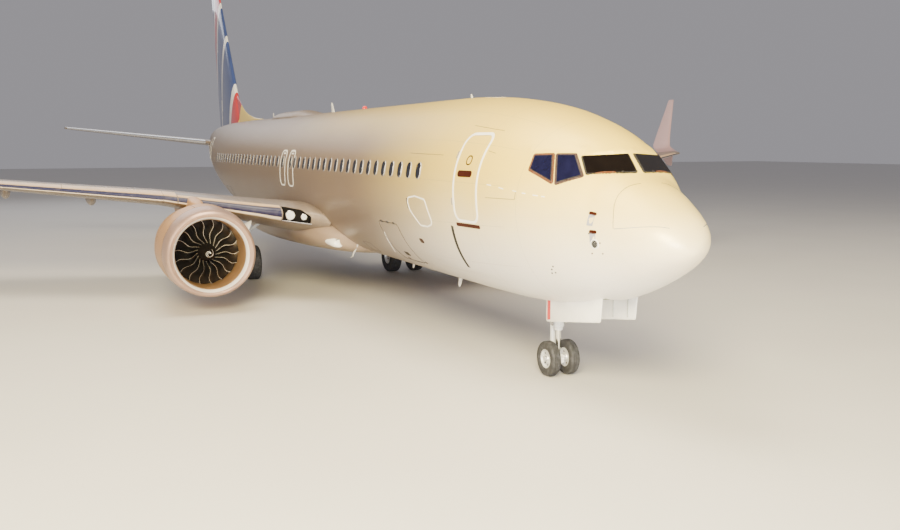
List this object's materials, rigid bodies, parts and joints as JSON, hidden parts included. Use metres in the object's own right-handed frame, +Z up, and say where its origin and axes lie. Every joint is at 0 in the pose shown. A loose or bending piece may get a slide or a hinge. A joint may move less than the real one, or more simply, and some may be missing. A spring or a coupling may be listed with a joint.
{
  "type": "narrow-body twin-jet airliner",
  "caption": "Low-wing airliner on tricycle landing gear, with fuselage, swept wings with split winglets, underslung turbofans, tail surfaces and doors.",
  "frame": {"origin": "on the ground under the middle of the overall length, on the centre plane", "axes": "+X to port, +Y aft, +Z up"},
  "size_m": [35.9162, 39.52, 12.3],
  "materials": {
    "body_paint": "silver-grey mica paint, gloss",
    "tail_paint": "navy, red and white gloss bands",
    "bright_edge": "polished bare metal",
    "wing_grey": "satin grey paint",
    "fan_metal": "dark satin blades",
    "hot_metal": "heat-tinted bare metal",
    "gear_white": "white gloss enamel",
    "wheel_metal": "painted forged wheel",
    "tyre": "worn black rubber"
  },
  "bodies": {
    "airframe": {"fuselage": "body_paint", "radome": "body_paint", "tail_cone": "body_paint", "wing_body_fairing": "body_paint", "entry_door_front": "body_paint", "service_door_front": "body_paint", "entry_door_rear": "body_paint", "service_door_rear": "body_paint", "cargo_door_front": "body_paint", "cargo_door_rear": "body_paint", "wing_port": "body_paint", "slats_port": "bright_edge", "flap_inboard_port": "wing_grey", "flap_outboard_port": "wing_grey", "winglet_port": "body_paint", "engine_cowl_port": "body_paint", "reverser_sleeve_port": "body_paint", "engine_core_port": "hot_metal", "pylon_port": "body_paint", "main_leg_port": "gear_white", "stabiliser_port": "wing_grey", "wing_starboard": "body_paint", "slats_starboard": "bright_edge", "flap_inboard_starboard": "wing_grey", "flap_outboard_starboard": "wing_grey", "winglet_starboard": "body_paint", "engine_cowl_starboard": "body_paint", "reverser_sleeve_starboard": "body_paint", "engine_core_starboard": "hot_metal", "pylon_starboard": "body_paint", "main_leg_starboard": "gear_white", "stabiliser_starboard": "wing_grey", "fin": "tail_paint", "nose_leg": "gear_white", "nose_gear_door_port": "gear_white", "nose_gear_door_starboard": "gear_white"},
    "nose_steering": {"nose_steering_leg": "gear_white"},
    "nose_wheel_pair": {"nose_wheels": "wheel_metal", "nose_tyre_port": "tyre", "nose_tyre_starboard": "tyre"},
    "main_wheel_pair_port": {"main_wheels_port": "wheel_metal", "main_tyre_port_inner": "tyre", "main_tyre_port_outer": "tyre"},
    "fan_port": {"fan_port": "fan_metal"},
    "aileron_port": {"aileron_port": "wing_grey"},
    "spoilers_port": {"spoilers_port": "wing_grey"},
    "elevator_port": {"elevator_port": "wing_grey"},
    "exit_port_front": {"overwing_exit_port_front": "body_paint"},
    "exit_port_rear": {"overwing_exit_port_rear": "body_paint"},
    "main_wheel_pair_starboard": {"main_wheels_starboard": "wheel_metal", "main_tyre_starboard_inner": "tyre", "main_tyre_starboard_outer": "tyre"},
    "fan_starboard": {"fan_starboard": "fan_metal"},
    "aileron_starboard": {"aileron_starboard": "wing_grey"},
    "spoilers_starboard": {"spoilers_starboard": "wing_grey"},
    "elevator_starboard": {"elevator_starboard": "wing_grey"},
    "exit_starboard_front": {"overwing_exit_starboard_front": "body_paint"},
    "exit_starboard_rear": {"overwing_exit_starboard_rear": "body_paint"},
    "rudder": {"rudder": "tail_paint"}
  },
  "joints": [
    {"name": "nose_steer", "type": "hinge", "parent": "airframe", "child": "nose_steering", "pos_m": [0, -15.75, 1], "axis": [0, 0, 1], "range_deg": [-78, 78]},
    {"name": "nose_wheels_turn", "type": "hinge", "parent": "nose_steering", "child": "nose_wheel_pair", "pos_m": [0, -15.75, 0.33878], "axis": [1, 0, 0], "continuous": true},
    {"name": "main_wheels_port_turn", "type": "hinge", "parent": "airframe", "child": "main_wheel_pair_port", "pos_m": [2.86, -0.15, 0.55804], "axis": [1, 0, 0], "continuous": true},
    {"name": "main_wheels_starboard_turn", "type": "hinge", "parent": "airframe", "child": "main_wheel_pair_starboard", "pos_m": [-2.86, -0.15, 0.55804], "axis": [1, 0, 0], "continuous": true},
    {"name": "fan_port_turn", "type": "hinge", "parent": "airframe", "child": "fan_port", "pos_m": [4.83, -5.47, 1.56], "axis": [0, 1, 0], "continuous": true},
    {"name": "fan_starboard_turn", "type": "hinge", "parent": "airframe", "child": "fan_starboard", "pos_m": [-4.83, -5.47, 1.56], "axis": [0, 1, 0], "continuous": true},
    {"name": "rudder_turn", "type": "hinge", "parent": "airframe", "child": "rudder", "pos_m": [0, 16.11113, 5.75], "axis": [0, 0.3395, 0.9406], "range_deg": [-26, 26]},
    {"name": "elevator_port_turn", "type": "hinge", "parent": "airframe", "child": "elevator_port", "pos_m": [1.15, 16.57541, 4.49767], "axis": [0.9026, 0.4178, 0.1037], "range_deg": [-18, 23]},
    {"name": "elevator_starboard_turn", "type": "hinge", "parent": "airframe", "child": "elevator_starboard", "pos_m": [-1.15, 16.57541, 4.49767], "axis": [0.9026, -0.4178, -0.1037], "range_deg": [-18, 23]},
    {"name": "aileron_port_turn", "type": "hinge", "parent": "airframe", "child": "aileron_port", "pos_m": [12.7, 2.15829, 3.54068], "axis": [0.9463, 0.2996, 0.1217], "range_deg": [-20, 20]},
    {"name": "aileron_starboard_turn", "type": "hinge", "parent": "airframe", "child": "aileron_starboard", "pos_m": [-12.7, 2.15829, 3.54068], "axis": [0.9463, -0.2996, -0.1217], "range_deg": [-20, 20]},
    {"name": "spoilers_port_lift", "type": "hinge", "parent": "airframe", "child": "spoilers_port", "pos_m": [6.3, -0.425, 3.074], "axis": [0.9414, 0.3295, 0.0726], "range_deg": [0, 38]},
    {"name": "spoilers_starboard_lift", "type": "hinge", "parent": "airframe", "child": "spoilers_starboard", "pos_m": [-6.3, -0.425, 3.074], "axis": [0.9414, -0.3295, -0.0726], "range_deg": [0, 38]},
    {"name": "exit_port_front_lift", "type": "hinge", "parent": "airframe", "child": "exit_port_front", "pos_m": [1.76589, -3.365, 4.17], "axis": [0, -1, 0], "range_deg": [0, 95]},
    {"name": "exit_port_rear_lift", "type": "hinge", "parent": "airframe", "child": "exit_port_rear", "pos_m": [1.76589, -2.415, 4.17], "axis": [0, -1, 0], "range_deg": [0, 95]},
    {"name": "exit_starboard_front_lift", "type": "hinge", "parent": "airframe", "child": "exit_starboard_front", "pos_m": [-1.76589, -3.365, 4.17], "axis": [0, 1, 0], "range_deg": [0, 95]},
    {"name": "exit_starboard_rear_lift", "type": "hinge", "parent": "airframe", "child": "exit_starboard_rear", "pos_m": [-1.76589, -2.415, 4.17], "axis": [0, 1, 0], "range_deg": [0, 95]}
  ],
  "couplings": [
    {"joint": "elevator_starboard_turn", "follows": "elevator_port_turn", "ratio": 1},
    {"joint": "aileron_starboard_turn", "follows": "aileron_port_turn", "ratio": -1}
  ]
}
